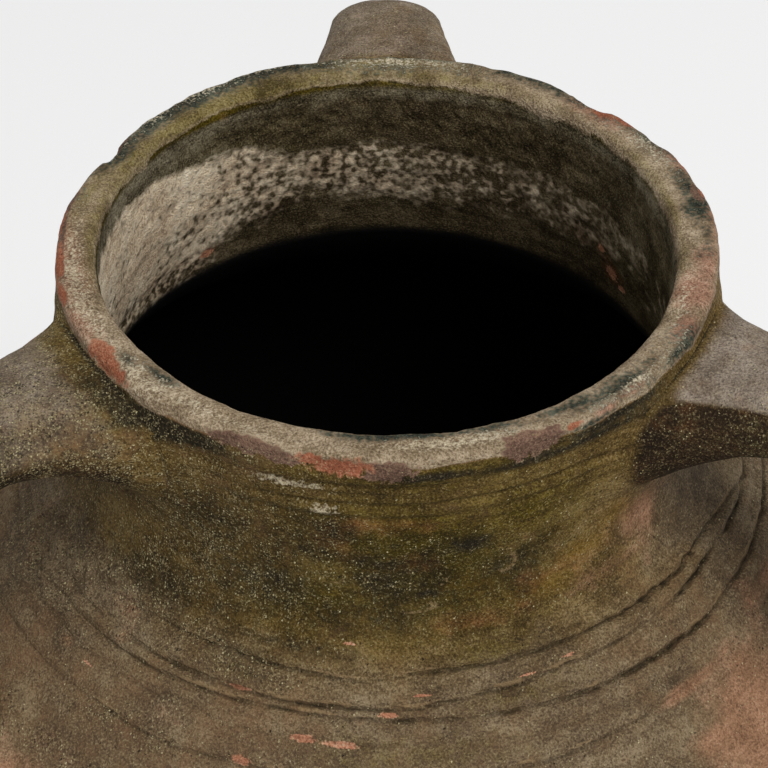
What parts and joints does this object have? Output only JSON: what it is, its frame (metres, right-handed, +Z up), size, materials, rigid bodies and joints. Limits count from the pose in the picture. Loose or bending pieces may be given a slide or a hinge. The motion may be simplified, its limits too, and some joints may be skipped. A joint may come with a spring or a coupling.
{
  "type": "olive jar",
  "caption": "Wide-mouthed storage jar of weathered fired clay, ovoid body on a flat base, short neck, thick turned rim, strap handles from neck to shoulder.",
  "frame": {"origin": "middle of the flat base, on the ground", "axes": "+Z up along the jar's axis, +Y towards the back handle"},
  "size_m": [0.612, 0.6118, 0.82],
  "materials": {
    "base_clay": "matte, unglazed",
    "lower_clay": "matte, unglazed",
    "belly_clay": "matte, unglazed, weathered",
    "shoulder_clay": "matte, weathered and stained",
    "neck_clay": "matte, mossy",
    "rim_clay": "matte, worn and lichened",
    "handle_clay": "matte, weathered"
  },
  "bodies": {
    "root": {"base": "base_clay", "lower_wall": "lower_clay", "belly_wall": "belly_clay", "shoulder": "shoulder_clay", "neck": "neck_clay", "rim": "rim_clay", "handle_back": "handle_clay", "handle_left": "handle_clay", "handle_right": "handle_clay"}
  },
  "joints": []
}
